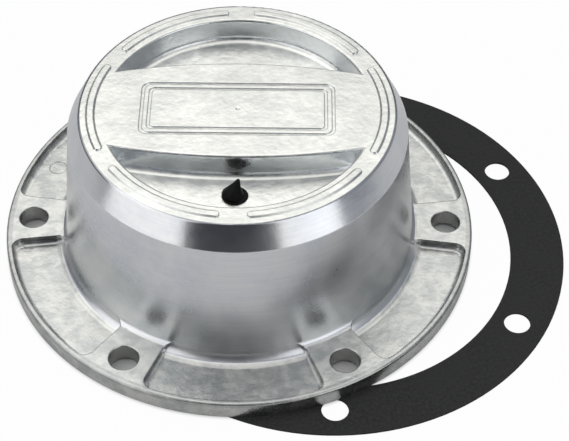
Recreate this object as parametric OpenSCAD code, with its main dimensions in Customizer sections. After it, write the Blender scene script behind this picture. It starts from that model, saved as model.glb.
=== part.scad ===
// Axle hub cap: one casting on a six-bolt flange, a rubber vent plug in the
// floor of its front well, and the flange's flat gasket, which lies pushed
// aside under the flange.
// Millimetres. The origin is the centre of the flange's underside, +Z points
// out through the nose, and +X runs along the bar across the nose.

/* [Bolts] */
// Diameter of the circle through the bolt holes, which the rest is sized from
bolt_circle_d = 139.7; // [126:0.1:152]
// Number of bolt holes, each through its own boss
bolt_count = 6; // [5:1:7]
// Diameter of a bolt hole
bolt_hole_d = 9.5; // [8:0.1:11]
// Width of the small chamfer at the top of a bolt hole
bolt_hole_chamfer = 0.3; // [0.2:0.1:0.8]

/* [Flange] */
// Distance from the bolt circle out to the flange's edge
flange_margin = 8.85; // [8.4:0.05:12]
// Thickness of the flange at its bolt bosses and its rim
flange_t = 6; // [5:0.1:9]
// Depth of the six pockets between the bosses
pocket_depth = 3; // [2.6:0.1:3.6]
// Width of the rim that closes the pockets
rim_w = 1.7; // [1.4:0.1:2.8]
// Half the angle of a bolt boss, seen from the cap's axis
boss_half_angle = 7.75; // [7.5:0.25:10]
// Radius of the pockets' corners at the rim, seen from above
pocket_corner_r = 3.6; // [2.6:0.1:6]
// Radius of the pockets' corners at the cup's wall, seen from above
root_corner_r = 3; // [2.4:0.1:4]
// Radius where a pocket's floor turns up into its sides
pocket_fillet_r = 1.9; // [0.8:0.1:2.2]
// Radius on the upper edge of the rim
rim_edge_r = 0.9; // [0.4:0.1:1.2]

/* [Cup] */
// Height of the nose above the flange's underside
cup_h = 57.4; // [54:0.1:70]
// Distance from the bolt circle in to the foot of the cup's wall
foot_margin = 11.25; // [10:0.05:12]
// Radius where the wall runs out into the floors of the pockets
foot_fillet_r = 4.3; // [2.5:0.1:4.8]
// Radius where the wall runs out into the tops of the bosses
boss_fillet_r = 2; // [1:0.1:2.5]
// Distance by which the wall leans in from its foot to the turned shoulder
wall_lean = 3.9; // [2.5:0.1:4.5]
// Height of the turned shoulder band
shoulder_h = 8; // [6:0.1:10]
// Thickness of the cup's wall
wall_t = 4.5; // [3.5:0.1:6]
// Thickness of the casting under the wells and the bar
skin_t = 4.5; // [3.5:0.1:6]
// Radius in the inner corner between the wall and the nose
inner_corner_r = 5; // [3:0.1:7]
// Width of the chamfer around the open mouth
mouth_chamfer = 1; // [0.4:0.1:2]

/* [Nose] */
// Distance by which the shoulder leans in, up to the flat ring around the nose
shoulder_lean = 4; // [3:0.1:5]
// Radius on the outer edge of the ring
nose_edge_r = 1; // [0.4:0.1:1.5]
// Width of that ring, out from the round rim that both wells share
ring_w = 7.5; // [7:0.1:8.5]
// Depth of the two wells
well_depth = 8; // [6:0.1:9]
// Draft of the wells' sides, in degrees
well_draft = 6; // [3:0.5:8]
// Radius where a well's floor turns up into its sides
well_fillet_r = 2.2; // [1:0.1:3]
// Radius on the upper edges of a well
well_edge_r = 0.9; // [0.4:0.1:1.3]
// Width of the bar at its middle
bar_w = 43.4; // [40:0.1:46]
// Radius of the bar's bowed long sides
bar_side_r = 180; // [130:1:300]

/* [Pads on the ring] */
// Width of a raised pad
pad_w = 3; // [2:0.1:3.4]
// Height of a pad above the ring
pad_h = 0.6; // [0.3:0.1:1]
// Distance by which the sides of a pad lean in, up to its flat top
pad_lean = 0.6; // [0.2:0.1:0.9]
// Distance from the ring's outer edge in to the middle of a pad
pad_margin = 3.9; // [3.3:0.1:4.6]
// Number of pads
pad_count = 6; // [4:1:8]
// Gap between two pads, measured along their circle
pad_gap = 8.6; // [4:0.1:14]

/* [Panel on the bar] */
// Distance from the wells' rim in to the end of the plain engraved panel
panel_end_margin = 12.2; // [8:0.1:18]
// Distance from the bar's side in to the panel's long side
panel_side_margin = 9.7; // [6:0.1:12]
// Corner radius of the panel
panel_r = 3; // [2.6:0.1:6]
// Width of an engraved line
line_w = 1; // [0.6:0.1:1.2]
// Depth of an engraved line
line_depth = 0.4; // [0.2:0.1:0.8]
// Distance between the outer and the inner line
line_gap = 1.4; // [1:0.1:1.6]
// Diameter of the lathe centre mark
centre_d = 1.6; // [1:0.1:3]

/* [Vent plug] */
// Diameter of the hole in the front well's floor
vent_d = 8.1; // [6:0.1:9]
// Distance of the hole's centre from the bar's side
vent_margin = 9.2; // [8:0.1:10]
// Clearance between the plug and its hole, on each side
vent_clear = 0.1; // [0.05:0.05:0.2]
// Height of the plug's crown above the well's floor
crown_h = 0.5; // [0.3:0.1:1.2]
// Height of the pulling tip above the crown
tip_h = 4.8; // [3:0.1:7]
// Radius of the tip's round end
tip_r = 0.4; // [0.3:0.1:0.8]
// Lean of the tip along the bar
tip_x = 1.1; // [0:0.1:2]
// Lean of the tip towards the bar
tip_y = 2.2; // [0:0.1:3]
// Diameter of the tip at its root on the crown
tip_root_d = 7.4; // [5:0.1:7.7]
// Step of the bead that holds the plug behind the floor
bead_step = 1.9; // [1:0.1:3]
// Thickness of that bead
bead_t = 2.4; // [1.5:0.1:4]

/* [Gasket] */
// Thickness of the gasket
gasket_t = 0.8; // [0.5:0.1:1.6]
// Distance by which the gasket is wider than the flange, on each side
gasket_over = 0.6; // [0:0.1:1.5]
// Width of the gasket's flat ring
gasket_land = 17.8; // [16:0.1:18.5]
// Diameter of the gasket's holes
gasket_hole_d = 8.6; // [7:0.1:11]
// Place of the gasket's centre beside the cap's axis, along the bar
gasket_x = 30.4; // [28:0.1:32]
// Place of the gasket's centre beside the cap's axis, across the bar
gasket_y = -5.6; // [-7:0.1:-4]
// Angle by which the gasket is turned against the cap
gasket_turn = 31.1; // [25:0.1:35]

/* [Marks] */
// Diameter of the round ejector-pin mark in one pocket
pin_mark_d = 6; // [4:0.1:8]
// Depth of that mark
pin_mark_depth = 0.25; // [0.1:0.05:0.4]
// Angle of the mark, measured from the bar
pin_mark_angle = 157.5; // [150:0.5:160]

/* [Hidden] */
$fn = 96;

// Small overlap that makes two joined bodies share volume
lap = 1;
// Small step that lets a round cross a face instead of only touching it
nip = 0.03;
// The same overlap as an angle, between a boss and its pocket corners
boss_lap = 1;

bolt_circle_r = bolt_circle_d / 2;
bolt_hole_r = bolt_hole_d / 2;
flange_r = bolt_circle_r + flange_margin;
foot_r = bolt_circle_r - foot_margin;
shoulder_r = foot_r - wall_lean;
nose_r = shoulder_r - shoulder_lean;
well_r = nose_r - ring_w;
pad_circle_r = nose_r - pad_margin;
panel_l = 2 * (well_r - panel_end_margin);
panel_w = bar_w - 2 * panel_side_margin;
vent_reach = bar_w / 2 + vent_margin;
gasket_r = flange_r + gasket_over;
rim_inner_r = flange_r - rim_w;
flank_fillet_r = 0.8 * pocket_fillet_r;

pocket_z = flange_t - pocket_depth;
shoulder_z = cup_h - shoulder_h;
well_z = cup_h - well_depth;
ceiling_z = well_z - skin_t;
bar_core_z = cup_h - skin_t;
bolt_pitch = 360 / bolt_count;

// The wall's outside leans in by this much for each millimetre of height
wall_slope = (foot_r - shoulder_r) / (shoulder_z - flange_t);
wall_stretch = sqrt(1 + wall_slope * wall_slope);
function wall_r(z) = foot_r - wall_slope * (z - flange_t);

well_slope = tan(well_draft);
well_stretch = sqrt(1 + well_slope * well_slope);
bar_centre_y = bar_side_r - bar_w / 2;

grey = [0.80, 0.80, 0.78];
black = [0.05, 0.05, 0.05];
charcoal = [0.14, 0.14, 0.14];

// Half section of the flange: floor of the pockets, rim and rounded edge
module flange_section() {
    difference() {
        union() {
            square([rim_inner_r, pocket_z]);
            translate([rim_inner_r - pocket_fillet_r, 0])
                square([rim_w + pocket_fillet_r, flange_t - rim_edge_r]);
            translate([rim_inner_r - pocket_fillet_r, 0])
                square([rim_w + pocket_fillet_r - rim_edge_r, flange_t]);
            translate([flange_r - rim_edge_r, flange_t - rim_edge_r])
                circle(rim_edge_r);
        }
        translate([rim_inner_r - pocket_fillet_r, pocket_z + pocket_fillet_r])
            circle(pocket_fillet_r);
        translate([rim_inner_r - 2 * pocket_fillet_r, pocket_z + pocket_fillet_r])
            square([2 * pocket_fillet_r, flange_t]);
    }
}

// Half section of the cup's outside, with the turned shoulder and the ring
module cup_section() {
    turn = atan2(shoulder_h, shoulder_r - nose_r);
    back = nose_edge_r * tan(turn / 2);
    polygon([
        [0, 0],
        [wall_r(0), 0],
        [shoulder_r, shoulder_z],
        [nose_r + back * cos(turn), cup_h - back * sin(turn)],
        [nose_r - back, cup_h],
        [0, cup_h]
    ]);
    translate([nose_r - back, cup_h - nose_edge_r])
        circle(nose_edge_r);
}

// Half section of the fillet that joins the wall to a flat face at this height
module fillet_section(level, fillet_r) {
    centre_z = level + fillet_r - nip;
    centre_r = wall_r(centre_z) + fillet_r * wall_stretch - nip;
    difference() {
        polygon([
            [wall_r(0) - wall_t / 2, level - lap],
            [centre_r, level - lap],
            [centre_r, centre_z],
            [centre_r - fillet_r, centre_z + fillet_r * wall_slope],
            [wall_r(centre_z) - wall_t / 2, centre_z]
        ]);
        translate([centre_r, centre_z])
            circle(fillet_r);
    }
}

// Half section of the cup's hollow, with its mouth chamfer and round corner
module hollow_section() {
    centre_z = ceiling_z - inner_corner_r;
    centre_r = wall_r(centre_z) - wall_t - inner_corner_r * wall_stretch;
    mouth_r = wall_r(0) - wall_t;
    polygon([
        [0, -lap],
        [mouth_r + mouth_chamfer + lap, -lap],
        [mouth_r, mouth_chamfer],
        [centre_r + inner_corner_r / wall_stretch, centre_z + inner_corner_r * wall_slope / wall_stretch],
        [centre_r, ceiling_z],
        [0, ceiling_z]
    ]);
    translate([centre_r, centre_z])
        circle(inner_corner_r);
}

// Hollow under the bar, a skin's thickness inside the bar's own outline
module bar_core() {
    side_r = bar_side_r - skin_t;
    height = bar_core_z - ceiling_z + lap;
    translate([0, 0, ceiling_z - lap])
        intersection() {
            cylinder(r = well_r - skin_t, h = height);
            translate([0, bar_centre_y, 0])
                cylinder(r = side_r, h = height);
            translate([0, -bar_centre_y, 0])
                cylinder(r = side_r, h = height);
        }
}

// Half section of a round well: drafted side, round floor edge, round top edge
module well_section() {
    floor_c_z = well_z + well_fillet_r;
    floor_c_r = well_r - well_slope * (cup_h - floor_c_z) - well_fillet_r * well_stretch;
    edge_c_z = cup_h - well_edge_r + nip;
    edge_c_r = well_r - well_slope * (cup_h - edge_c_z) + well_edge_r * well_stretch;
    polygon([
        [0, well_z],
        [floor_c_r, well_z],
        [floor_c_r + well_fillet_r / well_stretch, floor_c_z - well_fillet_r * well_slope / well_stretch],
        [edge_c_r - well_edge_r, edge_c_z],
        [edge_c_r - well_edge_r, cup_h + lap],
        [0, cup_h + lap]
    ]);
    translate([floor_c_r, floor_c_z])
        circle(well_fillet_r);
    difference() {
        translate([edge_c_r - well_edge_r - nip, edge_c_z])
            square([well_edge_r + nip, well_edge_r + lap]);
        translate([edge_c_r, edge_c_z])
            circle(well_edge_r);
    }
}

// Half section of the material that the bar keeps on one side of the nose
module bar_section() {
    floor_c_z = well_z + well_fillet_r - nip;
    floor_c_r = bar_side_r + well_slope * (cup_h - floor_c_z) + well_fillet_r * well_stretch - nip;
    edge_c_z = cup_h - well_edge_r + nip;
    edge_c_r = bar_side_r + well_slope * (cup_h - edge_c_z) - well_edge_r * well_stretch;
    polygon([
        [0, well_z - lap],
        [bar_side_r + well_slope * (well_depth + lap), well_z - lap],
        [edge_c_r + well_edge_r / well_stretch, edge_c_z + well_edge_r * well_slope / well_stretch],
        [edge_c_r, cup_h + nip],
        [edge_c_r, cup_h + 2 * lap],
        [0, cup_h + 2 * lap]
    ]);
    translate([edge_c_r, edge_c_z])
        circle(well_edge_r);
    difference() {
        polygon([
            [bar_side_r, well_z - lap],
            [floor_c_r, well_z - lap],
            [floor_c_r, floor_c_z],
            [bar_side_r, floor_c_z]
        ]);
        translate([floor_c_r, floor_c_z])
            circle(well_fillet_r);
    }
}

// The front well, from the ring to the bar
module well() {
    difference() {
        rotate_extrude()
            well_section();
        translate([0, bar_centre_y, 0])
            rotate_extrude($fn = 360)
                bar_section();
    }
}

// One bolt boss, from the cup to the rim, with the rounded pocket corners on both sides
module boss() {
    root_centre_r = wall_r(flange_t) + root_corner_r;
    root_turn = asin(root_corner_r / root_centre_r);
    root_r = root_centre_r * cos(root_turn);
    rim_centre_r = rim_inner_r - pocket_corner_r;
    rim_turn = asin(pocket_corner_r / rim_centre_r);
    rim_r = rim_centre_r * cos(rim_turn);
    outer = rim_inner_r + (rim_w - rim_edge_r) / 2;
    inner = wall_r(pocket_z) - wall_t / 2;
    sector(boss_half_angle)
        translate([inner, 0])
            square([outer - inner, flange_t]);
    difference() {
        sector(boss_half_angle + root_turn) {
            translate([inner, 0])
                square([root_r - inner, flange_t]);
            fillet_section(flange_t, boss_fillet_r);
        }
        for (side = [-1, 1])
            on_side(side)
                pocket_corner_cutter(root_centre_r, root_turn, root_corner_r);
    }
    for (side = [-1, 1])
        on_side(side) {
            rotate([0, 0, boss_half_angle])
                translate([root_r - lap, 0, 0])
                    rotate([90, 0, 90])
                        linear_extrude(height = rim_r - root_r + lap)
                            flank_fillet_section();
            difference() {
                linear_extrude(height = flange_t)
                    polygon([
                        polar(rim_r, boss_half_angle - boss_lap),
                        polar(rim_r, boss_half_angle),
                        polar(rim_centre_r, boss_half_angle + rim_turn),
                        polar(outer, boss_half_angle + rim_turn),
                        polar(outer, boss_half_angle - boss_lap)
                    ]);
                pocket_corner_cutter(rim_centre_r, rim_turn, pocket_corner_r);
            }
        }
}

// Turns a section about the axis, from one side of the bar's line to the other
module sector(half_angle) {
    rotate([0, 0, -half_angle])
        rotate_extrude(angle = 2 * half_angle)
            children();
}

// Section of the small fillet along a boss's side, beside the pocket floor
module flank_fillet_section() {
    reach = flank_fillet_r - nip;
    difference() {
        translate([-lap, pocket_z - lap])
            square([reach + lap, reach + lap]);
        translate([reach, pocket_z + reach])
            circle(flank_fillet_r);
    }
}

// A point at a distance and an angle from the axis
function polar(r, a) = [r * cos(a), r * sin(a)];

// Mirrors its child to the other side of the boss when side is negative
module on_side(side) {
    if (side < 0)
        mirror([0, 1, 0])
            children();
    else
        children();
}

// Round cutter that leaves a pocket's corner beside a boss, a step under the floor
module pocket_corner_cutter(centre_r, turn, corner_r) {
    translate(concat(polar(centre_r, boss_half_angle + turn), 0))
        rotate_extrude()
            pocket_corner_section(corner_r + nip);
}

// Half section of that cutter, round where it meets the pocket's floor
module pocket_corner_section(r) {
    floor_z = pocket_z - nip;
    translate([0, floor_z + pocket_fillet_r])
        square([r, flange_t]);
    translate([0, floor_z])
        square([r - pocket_fillet_r, flange_t]);
    intersection() {
        translate([r - pocket_fillet_r, floor_z + pocket_fillet_r])
            circle(pocket_fillet_r);
        square([r, 2 * flange_t]);
    }
}

// Outline of one pad, a bar bent round the axis with round ends
module pad_outline() {
    reach = pad_w / 2 + nip;
    half = (360 / pad_count - (pad_gap + pad_w) / pad_circle_r * 180 / PI) / 2;
    intersection() {
        difference() {
            circle(pad_circle_r + reach);
            circle(pad_circle_r - reach);
        }
        polygon([[0, 0], 2 * polar(pad_circle_r, -half), 2 * polar(pad_circle_r, half)]);
    }
    for (a = [-half, half])
        translate(polar(pad_circle_r, a))
            circle(reach);
}

// The pads that stand proud of the ring, with long sides that lean in
module pads() {
    slope = pad_lean / pad_h;
    base = pad_w / 2 + slope * lap;
    top = pad_w / 2 - pad_lean;
    intersection() {
        rotate_extrude()
            translate([pad_circle_r, cup_h])
                polygon([[-base, -lap], [base, -lap], [top, pad_h], [-top, pad_h]]);
        for (i = [0:pad_count - 1])
            rotate([0, 0, i * 360 / pad_count])
                translate([0, 0, cup_h - lap / 2])
                    linear_extrude(height = lap / 2 + 2 * pad_h)
                        pad_outline();
    }
}

// A rectangle with round corners, as a flat shape
module round_rectangle(l, w, r) {
    square([l - 2 * r, w], center = true);
    square([l, w - 2 * r], center = true);
    for (x = [-1, 1])
        for (y = [-1, 1])
            translate([x * (l / 2 - r), y * (w / 2 - r)])
                circle(r);
}

// One engraved line around the panel, set in from the panel's edge
module panel_line(inset) {
    difference() {
        panel_outline(inset);
        panel_outline(inset + line_w);
    }
}

// The panel's outline, drawn smaller by an inset on every side
module panel_outline(inset) {
    round_rectangle(panel_l - 2 * inset, panel_w - 2 * inset, panel_r - inset / 2);
}

// The engraved panel and the lathe centre mark
module panel() {
    translate([0, 0, cup_h - line_depth])
        linear_extrude(height = line_depth + lap) {
            panel_line(0);
            panel_line(line_w + line_gap);
        }
    translate([0, 0, cup_h - line_depth])
        cylinder(r1 = nip, r2 = centre_d / 2, h = line_depth + nip);
}

// A bolt hole with its small chamfer
module bolt_hole() {
    translate([bolt_circle_r, 0, -lap])
        cylinder(r = bolt_hole_r, h = flange_t + 2 * lap);
    translate([bolt_circle_r, 0, flange_t - bolt_hole_chamfer])
        cylinder(r1 = bolt_hole_r, r2 = bolt_hole_r + 2 * bolt_hole_chamfer, h = 2 * bolt_hole_chamfer);
}

// The casting, in one piece
module hub_cap() {
    color(grey)
        difference() {
            union() {
                rotate_extrude()
                    flange_section();
                rotate_extrude()
                    cup_section();
                rotate_extrude()
                    fillet_section(pocket_z, foot_fillet_r);
                for (i = [0:bolt_count - 1])
                    rotate([0, 0, i * bolt_pitch])
                        boss();
                pads();
            }
            rotate_extrude()
                hollow_section();
            bar_core();
            well();
            mirror([0, 1, 0])
                well();
            panel();
            for (i = [0:bolt_count - 1])
                rotate([0, 0, i * bolt_pitch])
                    bolt_hole();
            translate([0, -vent_reach, ceiling_z - lap])
                cylinder(d = vent_d, h = skin_t + 2 * lap);
            rotate([0, 0, pin_mark_angle])
                translate([bolt_circle_r, 0, pocket_z - pin_mark_depth])
                    cylinder(d = pin_mark_d, h = pocket_depth);
        }
}

// The rubber plug: bead behind the floor, neck in the hole, crown and leaning tip
module vent_plug() {
    neck_r = vent_d / 2 - vent_clear;
    bead_r = vent_d / 2 + bead_step;
    crown_z = well_z + crown_h;
    color(black)
        translate([0, -vent_reach, 0]) {
            translate([0, 0, ceiling_z - bead_t])
                cylinder(r1 = neck_r, r2 = bead_r, h = bead_t);
            translate([0, 0, ceiling_z - lap])
                cylinder(r = neck_r, h = skin_t + lap + crown_h / 2);
            translate([0, 0, well_z + crown_h / 2])
                cylinder(r1 = neck_r, r2 = neck_r - crown_h / 2, h = crown_h / 2);
            hull() {
                translate([-tip_x / 2, 0, crown_z - crown_h / 2])
                    cylinder(d = tip_root_d, h = crown_h / 2, $fn = 32);
                translate([tip_x, tip_y, crown_z + tip_h - tip_r])
                    sphere(tip_r, $fn = 16);
            }
        }
}

// The flat gasket, pushed aside under the flange
module gasket() {
    color(charcoal)
        translate([gasket_x, gasket_y, -gasket_t])
            rotate([0, 0, gasket_turn])
                difference() {
                    cylinder(r = gasket_r, h = gasket_t);
                    translate([0, 0, -lap])
                        cylinder(r = gasket_r - gasket_land, h = gasket_t + 2 * lap);
                    for (i = [0:bolt_count - 1])
                        rotate([0, 0, i * bolt_pitch])
                            translate([bolt_circle_r, 0, -lap])
                                cylinder(d = gasket_hole_d, h = gasket_t + 2 * lap);
                }
}

hub_cap();
vent_plug();
gasket();
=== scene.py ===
# %% [markdown]
# # Dressing an axle hub cap
# The solids come from the CAD part and stay as they are. This lesson gives them
# their finishes, makes a softer rubber plug, and lights them as a studio table would.

# %% Load the CAD part
import math

import bmesh
import bpy
from mathutils import Matrix, Vector


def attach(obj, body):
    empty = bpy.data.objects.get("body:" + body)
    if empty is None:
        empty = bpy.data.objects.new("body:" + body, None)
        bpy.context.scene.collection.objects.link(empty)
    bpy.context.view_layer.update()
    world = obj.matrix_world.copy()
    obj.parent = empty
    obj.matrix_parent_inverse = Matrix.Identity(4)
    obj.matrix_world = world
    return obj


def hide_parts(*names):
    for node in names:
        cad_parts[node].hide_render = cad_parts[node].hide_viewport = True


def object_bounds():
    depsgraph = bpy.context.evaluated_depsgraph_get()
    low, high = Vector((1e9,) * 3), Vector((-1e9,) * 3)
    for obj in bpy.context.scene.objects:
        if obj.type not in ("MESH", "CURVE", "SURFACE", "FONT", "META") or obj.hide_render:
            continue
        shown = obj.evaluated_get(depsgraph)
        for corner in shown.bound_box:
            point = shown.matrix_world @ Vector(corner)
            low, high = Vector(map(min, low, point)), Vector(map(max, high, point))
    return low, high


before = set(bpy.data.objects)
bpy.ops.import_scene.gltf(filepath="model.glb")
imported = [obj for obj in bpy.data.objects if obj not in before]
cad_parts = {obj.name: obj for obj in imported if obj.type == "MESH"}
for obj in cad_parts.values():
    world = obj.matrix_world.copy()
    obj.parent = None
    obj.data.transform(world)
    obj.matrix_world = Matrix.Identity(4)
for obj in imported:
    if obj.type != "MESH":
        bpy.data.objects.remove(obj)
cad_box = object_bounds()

print("nodes:", sorted(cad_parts), "box:", [[round(v, 4) for v in c] for c in cad_box])

# %% [markdown]
# ## The main sizes
# Blender works in metres. These sizes repeat the part's own, so that each finish
# ends where the real one does, at the foot of the cup and at the ring, and the painted
# shade on the rim starts at the rim.

# %% Sizes that the finishes follow
MM = 0.001
FOOT_R = 63.2 * MM
RIM_INNER_R = 76.9 * MM
FLANGE_R = 78.7 * MM
POCKET_Z = 3.0 * MM
SHOULDER_Z = 49.4 * MM
VENT_CENTRE = Vector((0.0, -30.9, 49.4)) * MM
# The centre of the arc that rounds the ring's edge, and the arc's lower end as seen from it
RING_EDGE_R, RING_EDGE_Z = 49.882 * MM, 56.4 * MM
SHOULDER_OUT, SHOULDER_UP = 0.8944 * MM, 0.4472 * MM
print("foot radius", FOOT_R, "shoulder height", SHOULDER_Z)

# %% [markdown]
# ## The camera
# The photograph looks down on the nose from the front, with the flange's edge as a
# wide ellipse. A camera can be moved by eye until the picture looks right, or
# fitted. This one was fitted to the bolt holes, the flange's edge, the ring and the
# gasket, so that each falls on its place in the photograph. An azimuth and an
# elevation give the direction, a roll levels the table, and the lens follows from
# the picture's width.


# %% A helper for directions
def direction(azimuth, elevation):
    """The unit vector that leaves the cap this way, in degrees; azimuth 0 is the front."""
    a, e = math.radians(azimuth), math.radians(elevation)
    return Vector((math.sin(a) * math.cos(e), -math.cos(a) * math.cos(e), math.sin(e)))


print("the front is", direction(0, 0))

# %% Place the camera
IMAGE_W = 569
FOCAL_PIXELS = 1719.0
SENSOR_W = 36.0
AZIMUTH, ELEVATION, ROLL = 0.175, 46.792, 0.507
DISTANCE = 591.5 * MM
TARGET = Vector((15.194, 5.275, 0.0)) * MM

towards_camera = direction(AZIMUTH, ELEVATION)
level_right = (-towards_camera).cross(Vector((0, 0, 1))).normalized()
level_up = level_right.cross(-towards_camera)
roll = math.radians(ROLL)
right = math.cos(roll) * level_right + math.sin(roll) * level_up
up = -math.sin(roll) * level_right + math.cos(roll) * level_up

camera_data = bpy.data.cameras.new("studio_camera")
camera_data.sensor_width = SENSOR_W
camera_data.lens = FOCAL_PIXELS * SENSOR_W / IMAGE_W
camera_data.clip_start = 10 * MM
camera = bpy.data.objects.new("studio_camera", camera_data)
bpy.context.scene.collection.objects.link(camera)
turn = Matrix((right, up, towards_camera)).transposed().to_4x4()
camera.matrix_world = Matrix.Translation(TARGET + towards_camera * DISTANCE) @ turn
bpy.context.scene.camera = camera
print("lens", round(camera_data.lens, 2), "mm")

# %% [markdown]
# ## A small vocabulary for node trees
# Every finish here is a tree of nodes. A tree can be wired by hand in the node
# editor, but a script can be read, changed and run again. A small class keeps the
# trees readable: it adds a node and fills its inputs, does arithmetic, fades between
# two values, mixes two colours and draws noise.


# %% Helpers for node trees
class Tree:
    """A node tree with short calls for adding nodes and joining them."""

    def __init__(self, tree):
        self.tree = tree

    def add(self, kind, inputs=None, **settings):
        made = self.tree.nodes.new(kind)
        for name, value in settings.items():
            setattr(made, name, value)
        for key, value in (inputs or {}).items():
            self.fill(made.inputs[key], value)
        return made

    def fill(self, socket, value):
        if isinstance(value, bpy.types.NodeSocket):
            self.tree.links.new(value, socket)
        else:
            socket.default_value = value

    def math(self, operation, a, b=0.0):
        return self.add("ShaderNodeMath", {0: a, 1: b}, operation=operation).outputs[0]

    def times(self, a, b):
        return self.math("MULTIPLY", a, b)

    def length(self, a, b):
        """How far the point (a, b) lies from (0, 0)."""
        return self.math("SQRT", self.math("ADD", self.times(a, a), self.times(b, b)))

    def fade(self, value, low, high, start=0.0, end=1.0):
        """start below low, end above high, and a smooth step between them."""
        made = self.add(
            "ShaderNodeMapRange",
            {"Value": value, "From Min": low, "From Max": high, "To Min": start, "To Max": end},
            interpolation_type="SMOOTHSTEP",
        )
        return made.outputs["Result"]

    def fall(self, value, low, high):
        """1 below low, 0 above high, and a smooth step between them."""
        return self.fade(value, low, high, start=1.0, end=0.0)

    def mix(self, share, a, b):
        made = self.add("ShaderNodeMix", data_type="RGBA")
        self.fill(made.inputs[0], share)
        self.fill(made.inputs[6], a)
        self.fill(made.inputs[7], b)
        return made.outputs[2]

    def noise(self, vector, scale, detail, roughness):
        made = self.add(
            "ShaderNodeTexNoise",
            {"Vector": vector, "Scale": scale, "Detail": detail, "Roughness": roughness},
        )
        return made.outputs[0]

    def bump(self, shader, height, strength, distance):
        """Gives the shader this relief, and returns the node."""
        made = self.add("ShaderNodeBump", {"Strength": strength, "Distance": distance, "Height": height})
        self.fill(shader.inputs["Normal"], made.outputs[0])
        return made

    def seen_directly(self):
        """1 for a ray from the camera or through something clear, and 0 for any other."""
        rays = self.add("ShaderNodeLightPath").outputs
        return self.math("MAXIMUM", rays["Is Camera Ray"], rays["Is Transmission Ray"])


print("the tree's calls:", [name for name in vars(Tree) if not name.startswith("_")])

# %% [markdown]
# Two functions start a new material and put it on. A noise's values lie mostly
# within the wide span. A fade over the narrow one, just inside it, gives a stronger
# contrast.

# %% Helpers for materials
WIDE_SPAN, NARROW_SPAN = (0.3, 0.7), (0.35, 0.65)


def new_material(name):
    """A material whose tree holds a shader and an output: (material, tree helper, shader)."""
    material = bpy.data.materials.new(name)
    material.use_nodes = True
    material.node_tree.nodes.clear()
    tree = Tree(material.node_tree)
    shader = tree.add("ShaderNodeBsdfPrincipled")
    tree.add("ShaderNodeOutputMaterial", {"Surface": shader.outputs[0]})
    return material, tree, shader


def dress(obj, material):
    """The object shows this material alone."""
    obj.data.materials.clear()
    obj.data.materials.append(material)
    print(obj.name, "wears", material.name)


print("noise spans", WIDE_SPAN, "and", NARROW_SPAN)

# %% [markdown]
# ## The casting
# One casting shows several finishes. The nose is as cast: nearly white, matt and
# faintly mottled, with smoother sides in its wells, which are painted a bluer grey as
# a painted cool reflection. The cup's wall and the band under the ring have been
# turned on a lathe, so they are shinier and mirror the table, with fine grooves that
# run round the axis. The flange is painted greyer, as painted shade below the cup,
# and darker still on its steep faces and its rim, also painted shade. The mesh could
# be cut up for a material each, but then the finishes would meet at hard borders. All
# of it is one metal, so one material decides by place: the distance from the axis,
# the height, and which way the surface faces.

# %% Read the place and the direction
metal, tree, shader = new_material("cast_aluminium_finish")
coordinates = tree.add("ShaderNodeTexCoord")
place = coordinates.outputs["Object"]
x, y, z = tree.add("ShaderNodeSeparateXYZ", {0: place}).outputs
facing = tree.add("ShaderNodeSeparateXYZ", {0: coordinates.outputs["Normal"]})
facing_x, facing_y, facing_up = facing.outputs
across = tree.length(x, y)
angle = tree.math("ARCTAN2", y, x)
outwards = tree.math("ADD", tree.times(facing_x, x), tree.times(facing_y, y))
outwards = tree.math("DIVIDE", outwards, across)
print("place and direction take", len(metal.node_tree.nodes), "nodes")

# %% [markdown]
# Each finish gets a share from 0 to 1. Masks could be painted for that, but a share
# worked out from the place needs no unwrapping. The turned finish covers the outside
# of the cup, from the pockets up to the ring's edge. Steep faces slide along the
# mould and come out smoother, so the sides of the wells and the flange's steep faces
# are told apart from the rest. These shares also carry a painted cool reflection on
# the well sides and painted shade on the flange's steep faces. The rim's share, on its
# top and outer side, carries painted shade.

# %% Where each finish lies
EDGE_SLACK, SHOULDER_SLACK = 0.05 * MM, 0.5 * MM
SIDE_FACING = 0.25, 0.45
STEEP_FACING = 0.35, 0.8
TURNED_FROM_R = RING_EDGE_R, RING_EDGE_R + 0.6 * MM
TURNED_TO_R = FOOT_R, FOOT_R + 1.0 * MM
TURNED_FROM_Z = POCKET_Z + 0.2 * MM, POCKET_Z + 0.8 * MM
WELL_FROM_Z = 40.0 * MM, 46.0 * MM
FLANGE_TO_Z = 5.0 * MM, 6.5 * MM
INSIDE_TO_R = RIM_INNER_R + 0.6 * MM, RIM_INNER_R + 1.2 * MM
RIM_FROM_R = RIM_INNER_R - 0.6 * MM, RIM_INNER_R
RIM_FROM_Z = 4.0 * MM, 5.0 * MM

on_edge = tree.math("GREATER_THAN", across, RING_EDGE_R - EDGE_SLACK)
on_edge = tree.times(on_edge, tree.math("GREATER_THAN", z, SHOULDER_Z + SHOULDER_SLACK))
turned = tree.math("MAXIMUM", tree.fade(outwards, *SIDE_FACING), on_edge)
turned = tree.times(turned, tree.fade(across, *TURNED_FROM_R))
turned = tree.times(turned, tree.fall(across, *TURNED_TO_R))
turned = tree.times(turned, tree.fade(z, *TURNED_FROM_Z))

steep = tree.fall(tree.math("ABSOLUTE", facing_up), *STEEP_FACING)
well_side = tree.times(steep, tree.fade(z, *WELL_FROM_Z))
flange_side_shade_mask = tree.times(steep, tree.fall(z, *FLANGE_TO_Z))
flange_side_shade_mask = tree.times(flange_side_shade_mask, tree.fall(across, *INSIDE_TO_R))
rim_shade_mask = tree.times(tree.fade(across, *RIM_FROM_R), tree.fade(z, *RIM_FROM_Z))
print("with the shares there are", len(metal.node_tree.nodes), "nodes")

# %% [markdown]
# The as-cast skin is mottled. Pictures of metal could be laid over it, but noise on
# the piece's own coordinates needs no picture and no unwrapping, so three sizes of
# noise do it. The lathe's marks are a noise that is stretched round the axis, and
# handling leaves smudges on the turned metal.

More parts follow.
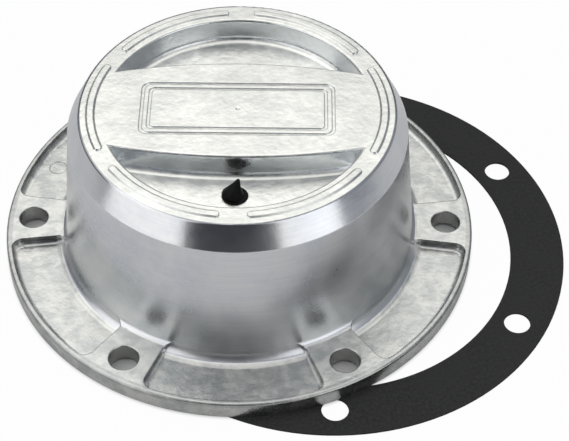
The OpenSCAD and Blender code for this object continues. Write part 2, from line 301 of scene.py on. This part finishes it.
# %% Noises of the skin and of the lathe
LATHE_LINES = 500.0
cloud = tree.noise(place, scale=38.0, detail=3.0, roughness=0.55)
blotch = tree.noise(place, scale=170.0, detail=3.0, roughness=0.6)
speck = tree.noise(place, scale=520.0, detail=3.0, roughness=0.65)
smudge = tree.noise(place, scale=60.0, detail=4.0, roughness=0.62)
around = tree.add("ShaderNodeCombineXYZ", {0: angle, 1: tree.times(z, LATHE_LINES), 2: across})
lathe = tree.noise(around.outputs[0], scale=2.4, detail=3.0, roughness=0.6)
print("with the noises there are", len(metal.node_tree.nodes), "nodes")

# %% [markdown]
# The cast skin is a pale grey with a little warmth, and the turned metal is cooler.
# Each colour is mixed over the ones before it by its own share, so the lines lie on
# each other in the order in which they stand. The values were set by comparing
# renders with the photograph.

# %% Colours
CAST_DULL, CAST_PALE = (0.74, 0.745, 0.71, 1), (0.89, 0.89, 0.845, 1)
CAST_BLOTCH, CAST_SPECK = (0.56, 0.57, 0.55, 1), (0.58, 0.58, 0.56, 1)
# The flange's two greys are darker than the nose's: painted shade below the cup.
FLANGE_SHADED_DULL, FLANGE_SHADED_PALE = (0.39, 0.40, 0.395, 1), (0.585, 0.585, 0.56, 1)
# Next line: a bluer grey for the well sides, a painted cool reflection, then two dark greys for the
# flange's steep faces and its rim, painted shade.
WELL_SIDE_REFLECTION, FLANGE_SIDE_SHADE, RIM_SHADE = (0.77, 0.80, 0.84, 1), (0.28, 0.28, 0.28, 1), (0.22, 0.23, 0.23, 1)
TURNED_DULL, TURNED_PALE = (0.715, 0.725, 0.74, 1), (0.765, 0.77, 0.775, 1)
TURNED_SMUDGE = (0.55, 0.58, 0.63, 1)
WELL_SIDE_REFLECTION_SHARE, FLANGE_SIDE_SHADE_SHARE, RIM_SHADE_SHARE = 0.7, 0.35, 0.35

cast_colour = tree.mix(tree.fade(cloud, *WIDE_SPAN), CAST_DULL, CAST_PALE)
cast_colour = tree.mix(tree.fade(blotch, *NARROW_SPAN, start=0.36, end=0.0), cast_colour, CAST_BLOTCH)
cast_colour = tree.mix(tree.fade(speck, *NARROW_SPAN, start=0.0, end=0.28), cast_colour, CAST_SPECK)
# The flange's grey is painted shade over the cast mottle, strongest low down.
flange_mottle_and_shade = tree.mix(tree.fade(blotch, 0.36, 0.64), FLANGE_SHADED_DULL, FLANGE_SHADED_PALE)
flange_shade_share = tree.fade(z, 5.0 * MM, 9.0 * MM, start=0.85, end=0.0)
cast_colour = tree.mix(flange_shade_share, cast_colour, flange_mottle_and_shade)
# Tints the wells' steep sides a bluer grey: a painted cool reflection.
cast_colour = tree.mix(tree.times(well_side, WELL_SIDE_REFLECTION_SHARE), cast_colour, WELL_SIDE_REFLECTION)
# Darkens the flange's steep faces, the boss flanks and pocket walls: painted shade.
cast_colour = tree.mix(tree.times(flange_side_shade_mask, FLANGE_SIDE_SHADE_SHARE), cast_colour, FLANGE_SIDE_SHADE)
# Darkens the rim's top and outer side: painted shade.
cast_colour = tree.mix(tree.times(rim_shade_mask, RIM_SHADE_SHARE), cast_colour, RIM_SHADE)
turned_colour = tree.mix(tree.fade(lathe, *WIDE_SPAN), TURNED_DULL, TURNED_PALE)
smudged = tree.fade(smudge, 0.36, 0.60, start=0.42, end=0.0)
turned_colour = tree.mix(smudged, turned_colour, TURNED_SMUDGE)
tree.fill(shader.inputs["Base Color"], tree.mix(turned, cast_colour, turned_colour))
shader.inputs["Metallic"].default_value = 1.0
print("with the colours there are", len(metal.node_tree.nodes), "nodes")

# %% [markdown]
# Roughness sets how blurred the metal's reflections are. The cast skin is roughest,
# its steep faces less so, and the sides of the wells least. Of the turned metal the
# shoulder is smoother than the wall below it, which has been handled more.

# %% Roughness
STEEP_SMOOTHER, WELL_SMOOTHER, WALL_ROUGHER = 0.09, 0.07, 0.10

cast_rough = tree.fade(blotch, *WIDE_SPAN, start=0.30, end=0.39)
cast_rough = tree.math("SUBTRACT", cast_rough, tree.times(steep, STEEP_SMOOTHER))
cast_rough = tree.math("SUBTRACT", cast_rough, tree.times(well_side, WELL_SMOOTHER))
turned_rough = tree.fade(smudge, *WIDE_SPAN, start=0.17, end=0.23)
on_wall = tree.fade(z, SHOULDER_Z - 0.6 * MM, SHOULDER_Z, start=WALL_ROUGHER, end=0.0)
turned_rough = tree.math("ADD", turned_rough, on_wall)
rough = tree.add("ShaderNodeMix", data_type="FLOAT")
tree.fill(rough.inputs[0], turned)
tree.fill(rough.inputs[2], cast_rough)
tree.fill(rough.inputs[3], turned_rough)
tree.fill(shader.inputs["Roughness"], rough.outputs[0])
print("with the roughness there are", len(metal.node_tree.nodes), "nodes")

# %% [markdown]
# No edge of a real casting is quite sharp. A Bevel modifier would round the mesh,
# but the CAD mesh stays as it is, so its edges are rounded in the shading. The ring's
# round edge is a true arc, and its normal points away from the arc's centre. The
# shoulder below it is a true cone, and keeps the direction that ends the arc. The
# grain lies on top of these directions, and is nearly gone where the lathe has been.

# %% Edges and grain
EDGE_RADIUS = 0.45 * MM
GRAIN_STRENGTH, GRAIN_DEPTH = 0.38, 0.22 * MM
BLOTCH_IN_GRAIN, GRAIN_ON_TURNED = 1.6, 0.16

soft_edge = tree.add("ShaderNodeBevel", {"Radius": EDGE_RADIUS}, samples=6)
edge_out = tree.math("MAXIMUM", tree.math("SUBTRACT", across, RING_EDGE_R), 0.0)
edge_out = tree.math("MINIMUM", edge_out, SHOULDER_OUT)
edge_share = tree.math("DIVIDE", edge_out, across)
edge_x, edge_y = tree.times(x, edge_share), tree.times(y, edge_share)
edge_up = tree.math("MAXIMUM", tree.math("SUBTRACT", z, RING_EDGE_Z), SHOULDER_UP)
arc = tree.add("ShaderNodeCombineXYZ", {0: edge_x, 1: edge_y, 2: edge_up})
arc = tree.add("ShaderNodeVectorMath", {0: arc.outputs[0]}, operation="NORMALIZE")

grain = tree.math("ADD", speck, tree.times(blotch, BLOTCH_IN_GRAIN))
grain = tree.times(grain, tree.fade(turned, 0.0, 1.0, start=1.0, end=GRAIN_ON_TURNED))
relief = tree.bump(shader, grain, GRAIN_STRENGTH, GRAIN_DEPTH)
tree.fill(relief.inputs["Normal"], tree.mix(on_edge, soft_edge.outputs[0], arc.outputs[0]))
dress(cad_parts["hub_cap"], metal)

# %% [markdown]
# ## The gasket
# A flat ring punched from a dark fibre sheet. It is matt and a little uneven in
# colour, and its fibres lie in all directions. They are too many and too fine to
# model, so a fine noise serves for colour, roughness and bump, and a coarse one adds
# faint patches.

# %% The gasket's material
FIBRE_DARK, FIBRE_PALE = (0.010, 0.010, 0.010, 1), (0.030, 0.030, 0.031, 1)
FIBRE_PATCH = (0.024, 0.024, 0.024, 1)
sheet, tree, shader = new_material("charcoal_fibre_sheet")
place = tree.add("ShaderNodeTexCoord").outputs["Object"]
fibre = tree.noise(place, scale=900.0, detail=4.0, roughness=0.65)
patch = tree.noise(place, scale=60.0, detail=2.0, roughness=0.5)
colour = tree.mix(tree.fade(fibre, *WIDE_SPAN), FIBRE_DARK, FIBRE_PALE)
colour = tree.mix(tree.fade(patch, *NARROW_SPAN, start=0.0, end=0.35), colour, FIBRE_PATCH)
tree.fill(shader.inputs["Base Color"], colour)
tree.fill(shader.inputs["Roughness"], tree.fade(fibre, *WIDE_SPAN, start=0.62, end=0.8))
shader.inputs["Specular IOR Level"].default_value = 0.25
tree.bump(shader, fibre, strength=0.4, distance=0.15 * MM)
dress(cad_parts["gasket"], sheet)

# %% [markdown]
# ## The rubber plug
# A moulded plug closes the small hole in the front well. A bead holds it from
# below, a low crown shows above the floor, and a soft tip leans back towards the
# bar: it is what the fitter pulls to take the plug out. The CAD plug fills the same
# space with flat facets, so the soft form is made here. The rubber is nearly black,
# with a faint bloom that changes its shine more than its colour.

# %% The plug's material
RUBBER_DARK, RUBBER_PALE = (0.003, 0.003, 0.003, 1), (0.007, 0.007, 0.007, 1)
rubber, tree, shader = new_material("black_rubber_finish")
place = tree.add("ShaderNodeTexCoord").outputs["Object"]
bloom = tree.noise(place, scale=500.0, detail=3.0, roughness=0.6)
tree.fill(shader.inputs["Base Color"], tree.mix(bloom, RUBBER_DARK, RUBBER_PALE))
tree.fill(shader.inputs["Roughness"], tree.fade(bloom, *WIDE_SPAN, start=0.38, end=0.5))
shader.inputs["Specular IOR Level"].default_value = 0.10
tree.bump(shader, bloom, strength=0.2, distance=0.1 * MM)
print("plug material has", len(rubber.node_tree.nodes), "nodes")

# %% [markdown]
# The stem, bead and crown are round, so a profile is spun about the hole's axis: one
# ring of points for each row of the list, and a band of faces between two rings. A
# Screw modifier could spin it too, but here the points go straight to their place,
# and the object stays at the origin, as the export wants it.

# %% Spin the stem, bead and crown
# Radius and height of each ring, in millimetres from the well's floor
STEM_RINGS = [
    (3.90, -6.90),
    (4.10, -6.88),
    (5.80, -4.75),
    (5.92, -4.55),
    (5.86, -4.50),
    (3.95, -4.50),
    (3.95, -4.40),
    (3.95, -0.10),
    (3.95, 0.16),
    (3.86, 0.34),
    (3.66, 0.46),
    (3.20, 0.56),
    (2.20, 0.66),
    (1.10, 0.70),
]
STEM_SIDES = 72

stem = bmesh.new()
rings = []
for radius, level in STEM_RINGS:
    ring = []
    for i in range(STEM_SIDES):
        a = 2 * math.pi * i / STEM_SIDES
        point = Vector((radius * math.cos(a), radius * math.sin(a), level)) * MM
        ring.append(stem.verts.new(VENT_CENTRE + point))
    rings.append(ring)
for low, high in zip(rings, rings[1:]):
    for i in range(STEM_SIDES):
        j = (i + 1) % STEM_SIDES
        stem.faces.new((low[i], low[j], high[j], high[i]))
stem.faces.new(list(reversed(rings[0])))
stem.faces.new(rings[-1])
for face in stem.faces:
    face.smooth = True
stem_mesh = bpy.data.meshes.new("plug_stem")
stem.to_mesh(stem_mesh)
stem.free()
plug = bpy.data.objects.new("pull_plug", stem_mesh)
bpy.context.scene.collection.objects.link(plug)
print("stem has", len(stem_mesh.polygons), "faces")

# %% [markdown]
# The tip follows a bent path and thins on the way. It could be pulled out of a cone
# by hand, but then each change of its lean would be new work. Geometry Nodes make it
# from a few numbers: a curve, a size that falls along it, and a round section swept
# over both. The tree takes the stem in and gives back stem and tip together.

# %% The tip's path and the inputs of its tree
TIP_ROOT = VENT_CENTRE + Vector((-0.55, 0.10, 0.20)) * MM
TIP_BEND = VENT_CENTRE + Vector((-0.10, 0.70, 2.60)) * MM
TIP_END = VENT_CENTRE + Vector((1.15, 2.20, 5.22)) * MM
TIP_R = 3.75 * MM
# Share of the way along the tip, and share of its root's radius there
TIP_TAPER = [(0.0, 1.0), (0.12, 0.94), (0.35, 0.68), (0.65, 0.36), (0.90, 0.17), (0.97, 0.11), (1.0, 0.03)]
TIP_STEPS, TIP_SIDES = 28, 48
TIP_INPUTS = [
    ("Geometry", "NodeSocketGeometry"),
    ("Root", "NodeSocketVector"),
    ("Bend", "NodeSocketVector"),
    ("End", "NodeSocketVector"),
    ("Root radius", "NodeSocketFloat"),
    ("Finish", "NodeSocketMaterial"),
]

group = bpy.data.node_groups.new("leaning_tip", "GeometryNodeTree")
for name, kind in TIP_INPUTS:
    group.interface.new_socket(name, in_out="INPUT", socket_type=kind)
group.interface.new_socket("Geometry", in_out="OUTPUT", socket_type="NodeSocketGeometry")
print("the tip's tree takes", [name for name, kind in TIP_INPUTS])

# %% Sweep the leaning tip with Geometry Nodes
tree = Tree(group)
start = tree.add("NodeGroupInput")
path = tree.add(
    "GeometryNodeCurveQuadraticBezier",
    {
        "Resolution": TIP_STEPS,
        "Start": start.outputs["Root"],
        "Middle": start.outputs["Bend"],
        "End": start.outputs["End"],
    },
)
along = tree.add("GeometryNodeSplineParameter").outputs["Factor"]
taper = tree.add("ShaderNodeFloatCurve", {"Value": along})
line = taper.mapping.curves[0]
line.points[0].location, line.points[1].location = TIP_TAPER[0], TIP_TAPER[-1]
for place_and_size in TIP_TAPER[1:-1]:
    line.points.new(*place_and_size)
taper.mapping.update()
thick = tree.times(taper.outputs[0], start.outputs["Root radius"])
section = tree.add("GeometryNodeCurvePrimitiveCircle", {"Resolution": TIP_SIDES, "Radius": 1.0})
swept = tree.add(
    "GeometryNodeCurveToMesh",
    {"Curve": path.outputs[0], "Profile Curve": section.outputs[0], "Scale": thick, "Fill Caps": True},
)
soft = tree.add("GeometryNodeSetShadeSmooth", {"Geometry": swept.outputs[0], "Shade Smooth": True})
both = tree.add("GeometryNodeJoinGeometry")
group.links.new(soft.outputs[0], both.inputs[0])
group.links.new(start.outputs["Geometry"], both.inputs[0])
real = tree.add("GeometryNodeRealizeInstances", {"Geometry": both.outputs[0]})
finish = start.outputs["Finish"]
coated = tree.add("GeometryNodeSetMaterial", {"Geometry": real.outputs[0], "Material": finish})
tree.add("NodeGroupOutput", {0: coated.outputs[0]})
print("the tip's tree has", len(group.nodes), "nodes")

# %% [markdown]
# The export wants a plain mesh, so the tree's result is kept and the modifier goes.
# The new plug then rides on the part's one body and stands for the CAD plug, which
# stays behind it, hidden.


# %% Turn the result into a plain mesh
def apply_nodes(obj, group, values):
    """Runs the tree on the object with these input values and keeps a plain mesh."""
    modifier = obj.modifiers.new("nodes", "NODES")
    modifier.node_group = group
    sockets = {s.name: s.identifier for s in group.interface.items_tree if s.in_out == "INPUT"}
    for name, value in values.items():
        modifier[sockets[name]] = value
    evaluated = obj.evaluated_get(bpy.context.evaluated_depsgraph_get())
    made = bpy.data.meshes.new_from_object(evaluated)
    obj.modifiers.clear()
    obj.data = made


apply_nodes(
    plug,
    group,
    {"Root": TIP_ROOT, "Bend": TIP_BEND, "End": TIP_END, "Root radius": TIP_R, "Finish": rubber},
)
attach(plug, "root")
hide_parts("vent_plug")
print("plug has", len(plug.data.polygons), "faces")

# %% [markdown]
# ## The floor
# The photograph stands on pure white. More light would turn a floor white, but it
# would bleach the metal too. So the floor is a pale sheet just under the gasket, and
# round the cap the camera sees it as bright as the paper in the picture. Below the
# flange it is left to the lamps, so that the bolt holes look down into shade. The
# metal mirrors the paper mostly as the lamps light it, with a tenth of that white.

# %% Floor
FLOOR_Z = cad_box[0][2] - 0.02 * MM
FLOOR_HALF = 0.45
floor_mesh = bpy.data.meshes.new("pale_floor")
sides = [(-1, -1), (1, -1), (1, 1), (-1, 1)]
corners = [(i * FLOOR_HALF, j * FLOOR_HALF, FLOOR_Z) for i, j in sides]
floor_mesh.from_pydata(corners, [], [(0, 1, 2, 3)])
floor = bpy.data.objects.new("pale_floor", floor_mesh)
bpy.context.scene.collection.objects.link(floor)
print("floor height", round(FLOOR_Z, 5))

# %% The floor's paper
WHITE = (1, 1, 1, 1)
PAPER_NEAR, PAPER_FAR = (0.70, 0.70, 0.69, 1), (0.62, 0.62, 0.63, 1)
PAPER_FROM_R = FLANGE_R - 2.0 * MM, FLANGE_R + 1.0 * MM
PAPER_WHITE, PAPER_IN_METAL = 0.97, 0.10

paper = bpy.data.materials.new("white_paper")
paper.use_nodes = True
paper.node_tree.nodes.clear()
tree = Tree(paper.node_tree)
mirrored = tree.times(tree.add("ShaderNodeLightPath").outputs["Is Glossy Ray"], PAPER_IN_METAL)
seen = tree.math("MAXIMUM", tree.seen_directly(), mirrored)
spot = tree.add("ShaderNodeTexCoord").outputs["Object"]
spot_x, spot_y, _ = tree.add("ShaderNodeSeparateXYZ", {0: spot}).outputs
open_paper = tree.fade(tree.length(spot_x, spot_y), *PAPER_FROM_R, start=0.0, end=PAPER_WHITE)
tone = tree.mix(open_paper, PAPER_NEAR, PAPER_FAR)
shaded = tree.add("ShaderNodeBsdfDiffuse", {"Color": tone})
bright = tree.add("ShaderNodeEmission", {"Color": WHITE, "Strength": 1.0})
share = tree.times(seen, open_paper)
both = tree.add("ShaderNodeMixShader", {0: share, 1: shaded.outputs[0], 2: bright.outputs[0]})
tree.add("ShaderNodeOutputMaterial", {"Surface": both.outputs[0]})
dress(floor, paper)

# %% [markdown]
# ## The room
# Metal shows what stands around it. A picture of a real studio could be wrapped
# round the scene for that. A few fades over the direction of sight need no picture
# and are easier to tune, and here they make a dim room with a bright ceiling.

# %% Look around the room
ROOM_LOW, ROOM_MID, ROOM_HIGH = 0.12, 0.76, 2.45
ROOM_FRONT, ROOM_RIGHT = 0.05, 0.30

world = bpy.data.worlds.new("studio_room")
bpy.context.scene.world = world
world.use_nodes = True
world.node_tree.nodes.clear()
tree = Tree(world.node_tree)
look = tree.add("ShaderNodeTexCoord").outputs["Generated"]
look_x, look_y, look_up = tree.add("ShaderNodeSeparateXYZ", {0: look}).outputs
bearing = tree.math("ARCTAN2", look_x, tree.times(look_y, -1.0))
glow = tree.fade(look_up, 0.20, 0.55, start=ROOM_LOW, end=ROOM_MID)
glow = tree.math("ADD", glow, tree.fade(look_up, 0.62, 0.90, start=0.0, end=ROOM_HIGH - ROOM_MID))
print("room from", ROOM_LOW, "at the floor to", ROOM_HIGH, "at the ceiling")

# %% [markdown]
# The ceiling is brightest above the back wall and fades towards the photographer's
# side, which is what shades the front pocket.

# %% Shade the ceiling towards the front
CEILING_TURN = math.radians(8.0)
forward = tree.times(look_x, math.sin(CEILING_TURN))
forward = tree.math("SUBTRACT", forward, tree.times(look_y, math.cos(CEILING_TURN)))
share = tree.fade(forward, -0.75, 0.62, start=1.02, end=0.10)
share = tree.math("MAXIMUM", share, tree.fade(look_up, 0.88, 0.96, start=0.0, end=0.60))
glow = tree.times(glow, share)
glow = tree.times(glow, tree.fade(look_up, 0.93, 1.0, start=1.0, end=0.75))
glow = tree.times(glow, tree.fade(look_x, -0.35, 0.35, start=1.1, end=0.9))
print("ceiling done with", len(world.node_tree.nodes), "nodes")

# %% [markdown]
# A studio puts up black cards where the metal needs a dark streak, and a dim zone of
# the room does the same. One low in front draws the dark patch in the middle of the
# turned shoulder, and one on the right dims the cup on that side.


# %% Darken the front and the right
def zone(middle, full, gone, top):
    """1 within full degrees of the bearing middle, 0 beyond gone, and only below top."""
    off = tree.math("ABSOLUTE", tree.math("SUBTRACT", bearing, math.radians(middle)))
    near = tree.fall(off, math.radians(full), math.radians(gone))
    return tree.times(near, tree.fall(look_up, *top))


to_right = zone(middle=88.0, full=34.0, gone=62.0, top=(0.66, 0.90))
to_front = zone(middle=-6.5, full=30.0, gone=52.0, top=(0.60, 0.80))
glow = tree.fade(to_right, 0.0, 1.0, start=glow, end=ROOM_RIGHT)
glow = tree.fade(to_front, 0.0, 1.0, start=glow, end=ROOM_FRONT)
print("front at", ROOM_FRONT, "and right at", ROOM_RIGHT)

# %% [markdown]
# The dim parts of the room are a little blue, as the shades on the metal are. The
# camera itself sees plain white in place of the room.

# %% Join the room and the white behind
WARM_LIGHT, COOL_SHADE = (1.0, 1.0, 0.99, 1), (0.80, 0.87, 1.0, 1)
tint = tree.mix(tree.fall(glow, 0.1, 0.9), WARM_LIGHT, COOL_SHADE)
room = tree.add("ShaderNodeBackground", {"Color": tint, "Strength": glow})
backdrop = tree.add("ShaderNodeBackground", {"Color": WHITE, "Strength": 1.0})
seen = tree.seen_directly()
both = tree.add("ShaderNodeMixShader", {0: seen, 1: room.outputs[0], 2: backdrop.outputs[0]})
tree.add("ShaderNodeOutputWorld", {"Surface": both.outputs[0]})
bpy.context.scene.view_settings.view_transform = "Standard"
print("world has", len(world.node_tree.nodes), "nodes")

# %% [markdown]
# ## The lamps
# Bare lamps would leave small hard spots on the metal and sharp shadows below it. So
# two big soft boxes stand low to the left and right of the camera. They draw the two
# bright stretches on the turned shoulder, either side of its dark patch.

# %% Lamps
LAMP_AIM = Vector((0, 0, 0.03))
LAMP_ELEVATION, LAMP_DISTANCE, LAMP_TALL = 18, 1.2, 1.40


def softbox(name, azimuth, width, glow):
    """A rectangular lamp that looks at the cup; glow is how bright its face is."""
    towards = direction(azimuth, LAMP_ELEVATION)
    lamp_data = bpy.data.lights.new(name, "AREA")
    lamp_data.shape = "RECTANGLE"
    lamp_data.size, lamp_data.size_y = width, LAMP_TALL
    lamp_data.energy = glow * math.pi * width * LAMP_TALL
    lamp = bpy.data.objects.new(name, lamp_data)
    bpy.context.scene.collection.objects.link(lamp)
    lamp.location = LAMP_AIM + towards * LAMP_DISTANCE
    lamp.rotation_euler = towards.to_track_quat("Z", "Y").to_euler()
    print(name, "at", [round(v, 2) for v in lamp.location])


softbox("lamp_left", azimuth=-56.5, width=1.22, glow=1.18)
softbox("lamp_right", azimuth=44, width=0.86, glow=1.15)

# %% [markdown]
